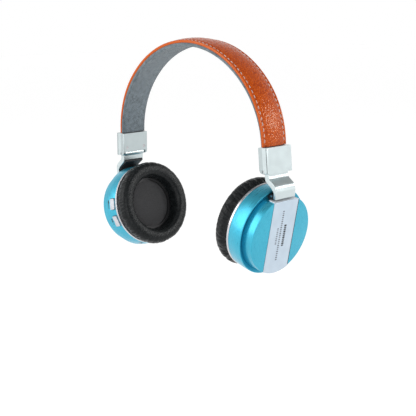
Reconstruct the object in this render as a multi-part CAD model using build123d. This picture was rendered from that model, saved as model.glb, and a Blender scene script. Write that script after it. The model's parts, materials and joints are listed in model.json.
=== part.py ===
from build123d import *
import os
from math import cos, radians, sin

# Wireless over-ear headphones with a stitched leather headband, in millimetres.
# X runs from the wearer's left ear (-X) to the right ear (+X), +Y is the way the
# wearer faces and +Z is up. The origin is the middle of the headband pad's
# underside, where the headband rests on a head or hangs on a stand.
# Every piece of one side is drawn for the right ear and mirrored for the left.

# headband arch, measured at the seam between the leather and the pad
seam_crown_z = 3.2
seam_crown_radius = 87.6
pad_crown_radius = 85.4
shoulder_start = 52.7
leg_lean = 3.0
leather_width = 26.0
leather_middle = 3.0
leather_edge = 1.6
pad_width = 25.2
pad_leg_thickness = 1.5
spring_width = 12.0
spring_thickness = 0.8
cable_radius = 0.7
cable_y = 10.9

# fold pin, the reference of the silver end box: +x outward, z along the leg
fold_pin_x = 85.6
fold_pin_z = -92.2
fold_pin_radius = 1.0
fold_pin_length = 25.6
seam_x = -0.45

# how far a cut runs past the surface that it opens
past = 1.0

# silver end box, seen from its fold pin
box_inner_x = -3.9
box_outer_x = 5.85
box_bottom_z = -1.85
box_top_z = 17.8
box_width = 26.6
box_split_x = 0.3
box_edge = 0.7
box_toe_radius = 3.2
box_groove = 0.5
box_groove_from_face = 1.1
sleeve_inner_x = -2.3
sleeve_outer_x = 2.1
sleeve_width = 21.4
wire_bay_x = 3.6
wire_bay_lip = 1.4
web_top_z = 7.3
knuckle_outer_x = 3.95
knuckle_roof_z = 1.5
knuckle_gap = 0.3
cap_screw_y = 9.3
cap_screw_z = 5.2
cap_screw_radius = 0.8
cap_screw_head = 1.4
cap_screw_head_depth = 0.9
cap_screw_length = 6.4

# slider: a steel strip fixed in the box runs in a plastic guide in the band's end
band_end_z = 18.2
guide_top_z = 31.0
guide_thickness = 2.4
guide_width = 17.0
guide_slot = 1.3
guide_slot_width = 14.6
tongue_bottom_z = 7.8
tongue_inner_x = -1.9
tongue_outer_x = 1.7
tongue_width = 20.6
strip_thickness = 0.9
strip_width = 14.0
strip_bottom_z = 3.4
strip_top_z = 30.6
strip_x = -0.15

# cup: face centre of the disc, its tilt, and depths behind that face
cup_x = 90.67
cup_z = -142.3
cup_tilt = 13.37
disc_radius = 31.27
disc_wall = 1.3
disc_face_wall = 2.0
disc_face_edge = 0.5
disc_seat_depth = 10.4
disc_top = 27.75
plate_width = 26.8
plate_thickness = 1.0
plate_proud = 0.3
plate_flange_depth = 6.5
plate_flange = 0.8
rim_depth = 8.79
rim_radius = 34.95
rim_edge = 0.4
dish_radius = 31.4
housing_back_depth = 22.0
housing_back_radius = 34.3
housing_wall = 1.6
housing_front_wall = 1.8
trim_radius = 34.1
trim_bore = 32.6
trim_back_depth = 23.4
baffle_radius = 33.5
baffle_back_depth = 24.8
baffle_spigot_depth = 22.6
baffle_spigot_bore = 31.2
driver_opening = 18.6
cloth_radius = 20.2
cloth_thickness = 0.4
ring_bore = 21.2
ring_back_depth = 26.2
cushion_skirt_depth = 23.7
cushion_skirt_radius = 34.3
cushion_radius = 36.3
cushion_waist_depth = 31.5
cushion_face_depth = 38.5
cushion_opening = 20.5
cushion_crest_bulge = 2.2
cushion_side_bulge = 0.6

# driver, 40 mm
driver_radius = 20.0
driver_flange = 1.0
basket_back_radius = 13.0
basket_depth = 5.2
basket_wall = 0.8
magnet_radius = 8.5
magnet_depth = 4.2
dome_radius = 17.6
dome_rise = 1.0
dome_thickness = 0.3

# screws that hold the baffle and the hinge block
baffle_screw_circle = 30.2
baffle_screw_count = 4
baffle_screw_radius = 0.9
baffle_screw_head = 1.7
baffle_screw_head_depth = 0.8
baffle_screw_length = 7.0
post_radius = 2.2
hinge_screw_y = 8.9
hinge_screw_radius = 0.6
hinge_screw_head = 1.1
hinge_screw_head_depth = 0.8

# tilt hinge between the arm and the cup, above the disc's flat top
tilt_pin_x = 91.2
tilt_pin_z = 31.8
tilt_pin_radius = 0.8
tilt_barrel_radius = 2.0
running_gap = 0.05
liner_barrel_width = 14.4
ear_inner_y = 7.6
ear_outer_y = 10.4
hinge_gap = 0.35
block_bottom = 28.6
block_top = 31.9
block_limit_radius = 33.3
block_front_depth = 8.9

# arm: a thick bent plate, its outline measured from the cup centre's height
arm_width = 21.8
arm_edge = 0.4
arm_barrel_radius = 2.6
arm_outline = [
    (89.2, 50.1), (89.2, 44.7), (96.0, 39.4), (96.6, 35.0), (96.2, 29.0),
    (93.3, 29.7), (93.7, 34.6), (91.6, 37.4), (85.4, 42.6), (85.0, 50.1),
]
arm_bends = [0.0, 2.2, 1.8, 2.0, 0.8, 0.8, 1.5, 1.5, 2.5, 0.0]
liner_outline = [
    (86.2, 45.0), (83.9, 42.4), (90.6, 37.5), (91.8, 35.7), (91.9, 34.6), (95.0, 34.6), (95.0, 37.0),
]
liner_bends = [0.0, 0.8, 1.2, 0.6, 0.0, 0.0, 0.0]
liner_width = 19.0

# left cup controls, angles measured down from the rearward (-Y) direction
play_angle = -8.5
rocker_angle = 16.5
microphone_angle = 51.0
button_length = 9.6
button_width = 5.4
button_depth = 18.4
button_gap = 0.3
button_proud = 0.5
button_foot = 1.0
button_corner = 1.0
button_foot_rim = 0.7
button_inner_radius = 31.4
rocker_bar = 1.5
microphone_depth = 15.1
microphone_radius = 0.8
microphone_length = 4.0
microphone_reach = 34.6
switch_board_radius = 27.6
switch_board_length = 24.0
switch_board_width = 6.0
switch_board_thickness = 1.0
switch_cap_height = 1.4
switch_cap_size = 2.6

# left cup electronics and the right cup's battery
board_radius = 25.0
board_thickness = 1.0
board_gap = 0.6
usb_y = -8.0
usb_width = 7.6
usb_height = 2.8
usb_length = 7.0
usb_wall = 0.4
usb_floor = 1.0
usb_mouth_radius = 33.4
jack_y = 10.0
jack_body = 6.0
jack_length = 15.0
jack_bore_radius = 1.8
jack_bore_length = 14.0
jack_mouth_radius = 33.8
jack_nose_radius = 2.7
jack_nose_length = 7.5
jack_body_start = 4.8
socket_depth = 17.1
battery_length = 26.0
battery_width = 9.0
battery_thickness = 5.0
battery_b = -24.8
battery_depth = 16.0

lean = radians(leg_lean)
tilt = radians(cup_tilt)
leg_plane = Plane(
    origin=(fold_pin_x, 0, fold_pin_z), x_dir=(cos(lean), 0, sin(lean)), z_dir=(-sin(lean), 0, cos(lean))
)
# on a cup, x is forward, y is up along the face and z is the outward face normal
cup_plane = Plane(origin=(cup_x, 0, cup_z), x_dir=(0, 1, 0), z_dir=(cos(tilt), 0, -sin(tilt)))
pin_rise = (tilt_pin_x - cup_x) * sin(tilt) + tilt_pin_z * cos(tilt)
pin_depth = tilt_pin_z * sin(tilt) - (tilt_pin_x - cup_x) * cos(tilt)


def on_leg(shape):
    return leg_plane.location * shape


def on_cup(shape):
    return cup_plane.location * shape


def block(low, high):
    """A box from its lowest to its highest corner."""
    size = [h - l for l, h in zip(low, high)]
    middle = [(h + l) / 2 for l, h in zip(low, high)]
    return Pos(*middle) * Box(*size)


def turned(*outline):
    """A ring or disc about the cup's axis, from (radius, depth behind the face) corners."""
    corners = [(radius, -depth) for radius, depth in outline]
    return revolve(Plane.XZ * make_face(Polyline(*corners, close=True)), Axis.Z)


def rod(radius, length, x, z):
    """A rod across the width, centred on the middle plane."""
    return Pos(x, 0, z) * Rot(90, 0, 0) * Cylinder(radius, length)


def plug(radius, y, b, near, far):
    """A rod along the cup's axis between two depths behind the face."""
    return Pos(y, b, -(near + far) / 2) * Cylinder(radius, far - near)


def at_rim(angle, shape):
    """Turns a piece drawn along the rearward radius, by an angle down round the rim."""
    return Rot(0, 0, angle) * shape


# headband


def arch_points(crown_z, crown_radius, leg_x, leg_end):
    """The right half of an arch: crown, start, middle and end of the shoulder, leg end."""
    crown_centre = crown_z - crown_radius
    start = radians(shoulder_start)
    end = radians(90 - leg_lean)
    reach = sin(start + lean)
    wall = fold_pin_x * cos(lean) + fold_pin_z * sin(lean) + leg_x
    radius = (wall - crown_centre * sin(lean) - crown_radius * reach) / (1 - reach)
    centre_x = (crown_radius - radius) * sin(start)
    centre_z = crown_centre + (crown_radius - radius) * cos(start)
    shoulder = [
        (centre_x + radius * sin(turn), 0, centre_z + radius * cos(turn))
        for turn in (start, (start + end) / 2, end)
    ]
    foot = leg_plane.from_local_coords(Vector(leg_x, 0, leg_end))
    return [(0, 0, crown_z), *shoulder, (foot.X, 0, foot.Z)]


def arch_edges(crown_z, crown_radius, leg_x, leg_end):
    """The whole arch as tangent edges, from the left leg's end to the right leg's end."""
    crown, start, middle, end, foot = arch_points(crown_z, crown_radius, leg_x, leg_end)
    left = [(-x, y, z) for x, y, z in (start, middle, end, foot)]
    return [
        Line(left[3], left[2]),
        ThreePointArc(left[2], left[1], left[0]),
        ThreePointArc(left[0], crown, start),
        ThreePointArc(start, middle, end),
        Line(end, foot),
    ]


def along_seam(section, leg_end):
    """Sweeps a section along the seam. Section x is forward and y is away from the head."""
    path = Wire(arch_edges(seam_crown_z, seam_crown_radius, seam_x, leg_end))
    start = Plane(origin=path @ 0, x_dir=(0, 1, 0), z_dir=path % 0)
    return sweep(start * section, path=path)


def guide_body():
    """The part of a strap guide that lies between the leather and the pad."""
    half = guide_thickness / 2
    return block(
        (strip_x - half, -guide_width / 2, band_end_z), (strip_x + half, guide_width / 2, guide_top_z)
    )


def both_sides(shape):
    return [shape, mirror(shape, about=Plane.YZ)]


def headband_spring():
    """The band spring, which ends at the strap guides."""
    section = Pos(0, spring_thickness / 2) * Rectangle(spring_width, spring_thickness)
    spring = along_seam(section, band_end_z)
    below = block((-box_width, -box_width, band_end_z - past), (box_width, box_width, guide_top_z))
    for leg in both_sides(on_leg(below)):
        spring -= leg
    return spring


def headband_cable():
    return along_seam(Pos(cable_y, 0) * Circle(cable_radius), band_end_z)


def headband_leather():
    half = leather_width / 2
    outline = [
        Line((-half, leather_edge), (-half, 0)),
        Line((-half, 0), (half, 0)),
        Line((half, 0), (half, leather_edge)),
        ThreePointArc((half, leather_edge), (0, leather_middle), (-half, leather_edge)),
    ]
    strap = along_seam(make_face(outline), band_end_z) - headband_spring() - headband_cable()
    for guide in both_sides(on_leg(guide_body())):
        strap -= guide
    return strap


def headband_pad():
    pad_leg_x = seam_x - pad_leg_thickness
    upper = arch_edges(seam_crown_z, seam_crown_radius, seam_x, band_end_z)
    lower = arch_edges(0, pad_crown_radius, pad_leg_x, band_end_z)
    ends = [Line(upper[0] @ 0, lower[0] @ 0), Line(upper[4] @ 1, lower[4] @ 1)]
    pad = extrude(make_face([*upper, *lower, *ends]), amount=pad_width / 2, both=True) - headband_cable()
    for guide in both_sides(on_leg(guide_body())):
        pad -= guide
    return pad


def strap_guide():
    tongue = block(
        (tongue_inner_x, -tongue_width / 2, tongue_bottom_z), (tongue_outer_x, tongue_width / 2, band_end_z)
    )
    slot = block(
        (strip_x - guide_slot / 2, -guide_slot_width / 2, tongue_bottom_z),
        (strip_x + guide_slot / 2, guide_slot_width / 2, guide_top_z),
    )
    return on_leg(tongue + guide_body() - slot)


# silver end box and slider


def end_box():
    """The closed outer shape of the end box."""
    half = box_width / 2
    shape = block((box_inner_x, -half, box_bottom_z), (box_outer_x, half, box_top_z))
    toe = shape.edges().filter_by(Axis.Y).sort_by(lambda edge: edge.center().X + edge.center().Z)[0]
    shape = fillet(toe, box_toe_radius)
    uprights = shape.edges().filter_by(Axis.Z)
    shape = fillet(uprights, box_edge)
    face_x = box_outer_x - box_groove_from_face
    band = block(
        (face_x - box_groove, -half - past, box_bottom_z - past), (face_x, half + past, box_top_z + past)
    )
    core = block(
        (face_x - box_groove, box_groove - half, box_bottom_z + box_groove),
        (face_x, half - box_groove, box_top_z - box_groove),
    )
    return shape - (band - core)


def box_hollows():
    """Everything that is open inside the end box."""
    sleeve_half = sleeve_width / 2
    sleeve = block(
        (sleeve_inner_x, -sleeve_half, web_top_z), (sleeve_outer_x, sleeve_half, box_top_z + past)
    )
    wire_bay = block(
        (sleeve_outer_x, -sleeve_half, web_top_z), (wire_bay_x, sleeve_half, box_top_z - wire_bay_lip)
    )
    knuckle_half = arm_width / 2 + knuckle_gap
    mouth = block(
        (box_inner_x - past, -knuckle_half, box_bottom_z - past), (knuckle_outer_x, knuckle_half, 0)
    )
    heel = block((box_inner_x - past, -knuckle_half, 0), (0, knuckle_half, knuckle_roof_z))
    barrel = rod(arm_barrel_radius + knuckle_gap, 2 * knuckle_half, 0, 0)
    strip = slider_blank()
    pin = rod(fold_pin_radius, box_width + past, 0, 0)
    return sleeve + wire_bay + mouth + heel + barrel + strip + pin


def slider_blank():
    half = strip_thickness / 2
    return block(
        (strip_x - half, -strip_width / 2, strip_bottom_z), (strip_x + half, strip_width / 2, strip_top_z)
    )


def cap_screw_blanks():
    """Two small screws driven outward from the box's inner face."""
    shaft = Pos(0, 0, cap_screw_length / 2) * Cylinder(cap_screw_radius, cap_screw_length)
    head = Pos(0, 0, cap_screw_head_depth / 2) * Cylinder(cap_screw_head, cap_screw_head_depth)
    screw = Rot(0, 90, 0) * (shaft + head)
    return [Pos(box_inner_x, y, cap_screw_z) * screw for y in (-cap_screw_y, cap_screw_y)]


def end_cap(outer):
    """One half of the split end box."""
    half = box_width
    low_x, high_x = (box_split_x, box_outer_x + past) if outer else (box_inner_x - past, box_split_x)
    side = block((low_x, -half, box_bottom_z - past), (high_x, half, box_top_z + past))
    shape = (end_box() & side) - box_hollows()
    for screw in cap_screw_blanks():
        shape -= screw
    return on_leg(shape)


def end_cap_outer():
    return end_cap(True)


def end_cap_inner():
    return end_cap(False)


def cap_screws():
    """The two screws, each with a straight drive slot."""
    slot = Pos(box_inner_x, 0, cap_screw_z) * Box(cap_screw_head_depth, box_width, cap_screw_radius / 2)
    return on_leg(Compound([screw - slot for screw in cap_screw_blanks()]))


def slider_strip():
    return on_leg(slider_blank())


def fold_pin():
    return on_leg(rod(fold_pin_radius, fold_pin_length, 0, 0))


# arm and tilt hinge


def side_plate(outline, bends, width):
    """A bent plate from its outline in the side view."""
    corners = [(x, cup_z + z) for x, z in outline]
    face = make_face(FilletPolyline(*corners, radius=bends, close=True))
    return extrude(Plane.XZ * face, amount=width / 2, both=True)


def arm():
    shape = side_plate(arm_outline, arm_bends, arm_width)
    rims = shape.faces().sort_by(Axis.Y)
    shape = chamfer(rims[0].edges() + rims[-1].edges(), arm_edge)
    shape += rod(arm_barrel_radius, arm_width, fold_pin_x, fold_pin_z)
    return shape - rod(fold_pin_radius + running_gap, arm_width + past, fold_pin_x, fold_pin_z)


def arm_liner():
    shape = side_plate(liner_outline, liner_bends, liner_width)
    pin_z = cup_z + tilt_pin_z
    tongue = block(
        (tilt_pin_x - tilt_barrel_radius / 4, -liner_barrel_width / 2, pin_z),
        (tilt_pin_x + tilt_barrel_radius, liner_barrel_width / 2, pin_z + 2 * tilt_barrel_radius),
    )
    shape += tongue + rod(tilt_barrel_radius, liner_barrel_width, tilt_pin_x, pin_z)
    shape -= rod(tilt_pin_radius + running_gap, arm_width, tilt_pin_x, pin_z)
    return shape - arm()


def tilt_pin():
    return rod(tilt_pin_radius, 2 * ear_outer_y, tilt_pin_x, cup_z + tilt_pin_z)


def cup_rod(radius, low_y, high_y):
    """A rod on the tilt pin's line, in the cup's own frame."""
    along = Rot(0, 90, 0) * Cylinder(radius, high_y - low_y)
    return Pos((low_y + high_y) / 2, pin_rise, -pin_depth) * along


def hinge_block_blank():
    """The tilt hinge's block before its holes: a plate against the housing and two ears."""
    shape = block(
        (-ear_outer_y, block_bottom, -disc_seat_depth), (ear_outer_y, block_top, -block_front_depth)
    )
    for side in (-1, 1):
        low_y, high_y = sorted((side * ear_inner_y, side * ear_outer_y))
        shape += cup_rod(tilt_barrel_radius, low_y, high_y)
        shape += block(
            (low_y, block_bottom, -block_front_depth),
            (high_y, pin_rise, -pin_depth + tilt_barrel_radius / 2),
        )
    return shape & (Pos(0, 0, -rim_depth) * Cylinder(block_limit_radius, 2 * rim_depth))


def hinge_screw_blanks():
    solids = []
    for y in (-hinge_screw_y, hinge_screw_y):
        b = (block_bottom + block_top) / 2
        back = disc_seat_depth + housing_front_wall
        shaft = plug(hinge_screw_radius, y, b, block_front_depth, back)
        solids.append(shaft + plug(hinge_screw_head, y, b, back, back + hinge_screw_head_depth))
    return solids


def hinge_block():
    shape = hinge_block_blank() - cup_rod(tilt_pin_radius, -ear_outer_y - past, ear_outer_y + past)
    shape -= cup_rod(tilt_barrel_radius + hinge_gap, -ear_inner_y, ear_inner_y)
    for screw in hinge_screw_blanks():
        shape -= screw
    return on_cup(shape)


def hinge_screws():
    return on_cup(Compound(hinge_screw_blanks()))


# cup shells


def screw_places():
    """Where the baffle screws and their posts stand, in the cup's own frame."""
    return PolarLocations(baffle_screw_circle, baffle_screw_count, 360 / baffle_screw_count / 2)


def baffle_screw_blanks():
    back = baffle_back_depth
    head = plug(baffle_screw_head, 0, 0, back - baffle_screw_head_depth, back)
    shaft = plug(baffle_screw_radius, 0, 0, back - baffle_screw_length, back)
    return [place * (head + shaft) for place in screw_places()]


def cup_housing(left):
    inner = housing_back_radius - housing_wall
    front_back = disc_seat_depth + housing_front_wall
    shape = turned(
        (0, disc_seat_depth), (dish_radius, disc_seat_depth), (rim_radius - 2 * rim_edge, rim_depth),
        (rim_radius - rim_edge, rim_depth), (rim_radius, rim_depth + rim_edge),
        (housing_back_radius, housing_back_depth), (inner, housing_back_depth), (inner, front_back),
        (0, front_back),
    )
    for place in screw_places():
        shape += place * plug(post_radius, 0, 0, front_back, baffle_spigot_depth)
    shape -= hinge_block_blank()
    for screw in hinge_screw_blanks() + baffle_screw_blanks():
        shape -= screw
    if left:
        for opening in control_openings():
            shape -= opening
    return on_cup(shape)


def front_cap():
    shape = turned(
        (0, 0), (disc_radius - disc_face_edge, 0), (disc_radius, disc_face_edge),
        (disc_radius, disc_seat_depth), (0, disc_seat_depth),
    )
    wide = disc_radius + past
    above = block((-wide, disc_top, -disc_seat_depth - past), (wide, wide, past))
    hollow_radius = disc_radius - disc_wall
    hollow = turned(
        (0, disc_face_wall), (hollow_radius, disc_face_wall), (hollow_radius, disc_seat_depth),
        (0, disc_seat_depth),
    )
    roof = block(
        (-disc_radius, disc_top - disc_wall, -disc_seat_depth - past), (disc_radius, disc_radius, past)
    )
    return on_cup(shape - above - (hollow - roof) - face_plate_blank())


def face_plate_blank():
    half = plate_width / 2
    face = block(
        (-half, -disc_radius, plate_proud - plate_thickness), (half, disc_top + plate_flange, plate_proud)
    )
    flange = block(
        (-half, disc_top, -plate_flange_depth), (half, disc_top + plate_flange, plate_proud)
    )
    limit = Cylinder(disc_radius, 4 * disc_seat_depth)
    return (face + flange) & limit


def face_plate():
    return on_cup(face_plate_blank())


def trim_ring():
    return on_cup(turned(
        (trim_bore, housing_back_depth), (trim_radius, housing_back_depth), (trim_radius, trim_back_depth),
        (trim_bore, trim_back_depth),
    ))


def baffle():
    shape = turned(
        (driver_opening, trim_back_depth), (baffle_spigot_bore, trim_back_depth),
        (baffle_spigot_bore, baffle_spigot_depth), (trim_bore, baffle_spigot_depth),
        (trim_bore, trim_back_depth), (baffle_radius, trim_back_depth), (baffle_radius, baffle_back_depth),
        (driver_opening, baffle_back_depth),
    )
    for place in screw_places():
        shape += place * plug(post_radius, 0, 0, baffle_spigot_depth, trim_back_depth)
    for screw in baffle_screw_blanks():
        shape -= screw
    return on_cup(shape)


def baffle_screws():
    return on_cup(Compound(baffle_screw_blanks()))


def driver_frame():
    back = trim_back_depth - basket_depth
    flange = trim_back_depth - driver_flange
    return on_cup(turned(
        (dome_radius, trim_back_depth), (driver_radius, trim_back_depth), (driver_radius, flange),
        (dome_radius + basket_wall, flange), (basket_back_radius + basket_wall, back),
        (magnet_radius - basket_wall, back), (magnet_radius - basket_wall, back + basket_wall),
        (basket_back_radius, back + basket_wall), (dome_radius, flange),
    ))


def driver_magnet():
    back = trim_back_depth - basket_depth
    near = back - magnet_depth
    return on_cup(turned((0, near), (magnet_radius, near), (magnet_radius, back), (0, back)))


def driver_diaphragm():
    middle = dome_radius / 2
    top = trim_back_depth - dome_rise
    side = trim_back_depth - dome_rise / 2
    skin = dome_thickness
    return on_cup(turned(
        (0, top), (middle, side), (dome_radius, trim_back_depth - skin), (dome_radius, trim_back_depth),
        (middle, side + skin), (0, top + skin),
    ))


def speaker_cloth():
    return on_cup(turned(
        (0, baffle_back_depth), (cloth_radius, baffle_back_depth),
        (cloth_radius, baffle_back_depth + cloth_thickness), (0, baffle_back_depth + cloth_thickness),
    ))


def cushion_ring():
    return on_cup(turned(
        (ring_bore, baffle_back_depth), (baffle_radius, baffle_back_depth),
        (baffle_radius, ring_back_depth), (ring_bore, ring_back_depth),
    ))


def ear_cushion():
    skirt = (cushion_skirt_radius, -cushion_skirt_depth)
    waist = (cushion_radius, -cushion_waist_depth)
    middle = (cushion_radius + cushion_opening) / 2
    crest = (middle, -cushion_face_depth)
    lip = (cushion_opening, -cushion_waist_depth)
    swell_radius = (cushion_skirt_radius + cushion_radius) / 2 + cushion_side_bulge
    swell = (swell_radius, -(cushion_skirt_depth + cushion_waist_depth) / 2)
    outline = [
        ThreePointArc(skirt, swell, waist),
        SagittaArc(waist, crest, cushion_crest_bulge),
        SagittaArc(crest, lip, cushion_crest_bulge),
        Line(lip, (cushion_opening, -ring_back_depth)),
        Line((cushion_opening, -ring_back_depth), (baffle_radius, -ring_back_depth)),
        Line((baffle_radius, -ring_back_depth), (baffle_radius, -cushion_skirt_depth)),
        Line((baffle_radius, -cushion_skirt_depth), skirt),
    ]
    return on_cup(revolve(Plane.XZ * make_face(outline), Axis.Z))


# controls and electronics


def button_hole():
    """The window that a control moves in, along the rearward radius."""
    half = button_length / 2 + button_gap
    wide = button_width / 2 + button_gap
    return block(
        (-rim_radius - past, -half, -button_depth - wide),
        (past - button_inner_radius, half, wide - button_depth),
    )


def button_blank(crown_radius):
    """A rounded key with a foot behind the housing wall."""
    half = button_length / 2
    wide = button_width / 2
    key = block(
        (-crown_radius, -half, -button_depth - wide), (-button_inner_radius, half, wide - button_depth)
    )
    key = fillet(key.edges().filter_by(Axis.X), button_corner)
    rim = button_foot_rim
    foot = block(
        (-button_inner_radius, -half - rim, -button_depth - wide - rim),
        (button_foot - button_inner_radius, half + rim, wide + rim - button_depth),
    )
    return key + foot


def microphone_space():
    """The microphone's capsule, its outer end flush with the housing's side."""
    place = Pos(microphone_length / 2 - microphone_reach, 0, -microphone_depth) * Rot(0, 90, 0)
    return at_rim(microphone_angle, place * Cylinder(microphone_radius, microphone_length))


def usb_outer():
    return block(
        (usb_y - usb_width / 2, -usb_mouth_radius, -socket_depth - usb_height / 2),
        (usb_y + usb_width / 2, usb_length - usb_mouth_radius, usb_height / 2 - socket_depth),
    )


def jack_rod(radius, length):
    """A rod up into the left cup from the jack's mouth."""
    place = Pos(jack_y, length / 2 - jack_mouth_radius, -socket_depth) * Rot(90, 0, 0)
    return place * Cylinder(radius, length)


def control_openings():
    """Windows in the left housing."""
    return [
        at_rim(play_angle, button_hole()), at_rim(rocker_angle, button_hole()), microphone_space(),
        usb_outer(), jack_rod(jack_nose_radius, jack_nose_length),
    ]


def play_button():
    return on_cup(at_rim(play_angle, button_blank(rim_radius + button_proud)))


def volume_rocker():
    key = button_blank(rim_radius + button_proud)
    valley = block(
        (-rim_radius - button_proud - past, -rocker_bar / 2, -button_depth - button_width),
        (-rim_radius - button_proud / 2, rocker_bar / 2, button_width - button_depth),
    )
    return on_cup(at_rim(rocker_angle, key - valley))


def microphone():
    return on_cup(microphone_space())


def switch_board():
    middle = (play_angle + rocker_angle) / 2
    board = block(
        (-switch_board_radius, -switch_board_length / 2, -button_depth - switch_board_width / 2),
        (switch_board_thickness - switch_board_radius, switch_board_length / 2,
         switch_board_width / 2 - button_depth),
    )
    size = switch_cap_size
    spread = switch_board_radius * sin(radians(rocker_angle - play_angle) / 2)
    cap = Box(switch_cap_height, size, size)
    for b in (-spread, spread):
        board += Pos(-switch_board_radius - switch_cap_height / 2, b, -button_depth) * cap
    return on_cup(at_rim(middle, board))


def circuit_board():
    near = disc_seat_depth + housing_front_wall + board_gap
    far = near + board_thickness
    return on_cup(turned((0, near), (board_radius, near), (board_radius, far), (0, far)))


def usb_port():
    half_width = usb_width / 2 - usb_wall
    half_height = usb_height / 2 - usb_wall
    bore = block(
        (usb_y - half_width, -usb_mouth_radius, -socket_depth - half_height),
        (usb_y + half_width, usb_length - usb_floor - usb_mouth_radius, half_height - socket_depth),
    )
    return on_cup(usb_outer() - bore)


def audio_jack():
    half = jack_body / 2
    body = block(
        (jack_y - half, jack_body_start - jack_mouth_radius, -socket_depth - half),
        (jack_y + half, jack_length - jack_mouth_radius, half - socket_depth),
    )
    nose = jack_rod(jack_nose_radius, jack_nose_length)
    return on_cup(body + nose - jack_rod(jack_bore_radius, jack_bore_length))


def battery():
    return on_cup(block(
        (-battery_length / 2, battery_b - battery_width / 2, -battery_depth - battery_thickness / 2),
        (battery_length / 2, battery_b + battery_width / 2, battery_thickness / 2 - battery_depth),
    ))


side_pieces = [
    strap_guide, end_cap_outer, end_cap_inner, cap_screws, slider_strip, fold_pin, arm, arm_liner, tilt_pin,
    hinge_block, hinge_screws, front_cap, face_plate, trim_ring, baffle, baffle_screws, driver_frame,
    driver_magnet, driver_diaphragm, speaker_cloth, cushion_ring, ear_cushion,
]
left_pieces = [play_button, volume_rocker, microphone, switch_board, circuit_board, usb_port, audio_jack]


def save(name, shape):
    export_step(shape, f"parts/{name}.step")


def save_side(name, shape, left):
    side = "left" if left else "right"
    save(f"{side}_{name}", mirror(shape, about=Plane.YZ) if left else shape)


os.makedirs("parts", exist_ok=True)
for make in (headband_leather, headband_pad, headband_spring, headband_cable):
    save(make.__name__, make())
for make in side_pieces:
    shape = make()
    for left in (False, True):
        save_side(make.__name__, shape, left)
for left in (False, True):
    save_side("cup_housing", cup_housing(left), left)
for make in left_pieces:
    save_side(make.__name__, make(), True)
save_side("battery", battery(), False)
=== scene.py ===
"""The visual model of the folding over-ear headphones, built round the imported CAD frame."""
import json
import math
import random

import bmesh
import bpy
import numpy as np
from mathutils import Matrix, Vector, noise


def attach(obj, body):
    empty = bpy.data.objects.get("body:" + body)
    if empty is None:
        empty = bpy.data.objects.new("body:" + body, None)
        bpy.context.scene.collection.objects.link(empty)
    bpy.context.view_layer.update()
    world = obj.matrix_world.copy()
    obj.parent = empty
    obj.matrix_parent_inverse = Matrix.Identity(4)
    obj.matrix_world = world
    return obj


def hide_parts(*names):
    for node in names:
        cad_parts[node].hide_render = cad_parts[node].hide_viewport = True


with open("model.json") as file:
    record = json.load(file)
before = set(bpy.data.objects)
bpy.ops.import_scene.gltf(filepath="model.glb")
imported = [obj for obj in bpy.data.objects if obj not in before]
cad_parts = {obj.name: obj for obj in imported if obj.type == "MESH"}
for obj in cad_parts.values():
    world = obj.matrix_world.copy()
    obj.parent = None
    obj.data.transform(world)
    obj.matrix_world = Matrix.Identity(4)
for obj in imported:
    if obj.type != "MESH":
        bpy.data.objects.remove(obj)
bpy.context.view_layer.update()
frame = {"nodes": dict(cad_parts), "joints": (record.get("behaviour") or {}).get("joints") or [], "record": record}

MM = 0.001
SIDES = ("left", "right")
OUTWARD = {"left": -1, "right": 1}
nodes = frame["nodes"]
joints = {joint["name"]: joint for joint in frame["joints"]}
mounts = {mount["name"]: mount for mount in frame["record"]["mounts"]}

# headband arch, in millimetres: the seam between leather and pad, and the pad's underside
SEAM_CROWN_Z = 3.2
SEAM_CROWN_RADIUS = 87.6
PAD_CROWN_RADIUS = 85.4
SHOULDER_START = math.radians(52.7)
SEAM_X = -0.45
PAD_LEG_X = -1.95
BAND_END = 18.2

# leather strap: its section, its pebbled grain, its stitches and their groove and needle holes
RAIL_STEP = 0.35
LEATHER_HALF_WIDTH = 13.0
LEATHER_EDGE = 0.62
LEATHER_POINTS = 80
MARGIN_HEIGHT = 1.75
STITCH_Y = 10.5
MIDDLE_HALF_WIDTH = STITCH_Y - 0.4
MIDDLE_PADDING = 1.35
MIDDLE_ROUNDNESS = 0.7
STRAP_SWELL = 0.6
SWELL_RUN = 50
PEBBLE_SIZE = 1.6
PEBBLE_DEPTH = 0.23
PEBBLE_DRIFT = 0.45
CREASE_SHARE = 0.62
STITCH_PITCH = 4.15
STITCH_LENGTH = 2.9
STITCH_SLANT = 0.10
STITCH_LIFT = 0.04
STITCH_DIP = 0.16
THREAD_RADIUS = 0.31
GROOVE_DEPTH = 0.32
GROOVE_WIDTH = 0.55
HOLE_DEPTH = 0.42
HOLE_LENGTH = 0.42
HOLE_WIDTH = 0.40

# padded lining under the strap
PAD_HALF_WIDTH = 12.6
PAD_RAIL_STEP = 1.2
PAD_EDGE = 1.5
PAD_SWELL = 0.35
PAD_UNEVENNESS = 0.22

# end box, in millimetres from the fold pin, along and across the strap's leg, and the painted shade in the groove
# round it
BOX_OUTER = 5.85
BOX_BOTTOM = -1.85
BOX_TOP = 17.8
BOX_HALF_WIDTH = 13.3
GROOVE_SHADE_FROM_FACE = 1.12
GROOVE_SHADE_WIDTH = 0.46
GROOVE_SHADE_INSET = 0.5
GROOVE_SHADE_THICKNESS = 0.14
GROOVE_SHADE_CORNER = 0.25

# arm in the side view, from the fold pin: x outward, y up; then the radius at each corner
ARM_CORNERS = [
    (3.6, 0.0), (3.6, -5.4), (10.4, -10.7), (11.0, -15.1), (10.6, -21.1), (7.7, -20.4),
    (8.1, -15.5), (6.0, -12.7), (-0.2, -7.5), (-0.6, -1.3), (1.5, -1.3), (1.5, 0.0),
]
ARM_BENDS = [0.0, 4.5, 4.6, 5.0, 0.8, 0.8, 1.5, 1.5, 2.5, 0.0, 0.0, 0.0]
ARM_HALF_WIDTH = 10.9
ARM_EDGE = 0.6
BARREL_EDGE = 0.3
BARREL_RADIUS = 2.6
PIN_BORE = 1.05

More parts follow.
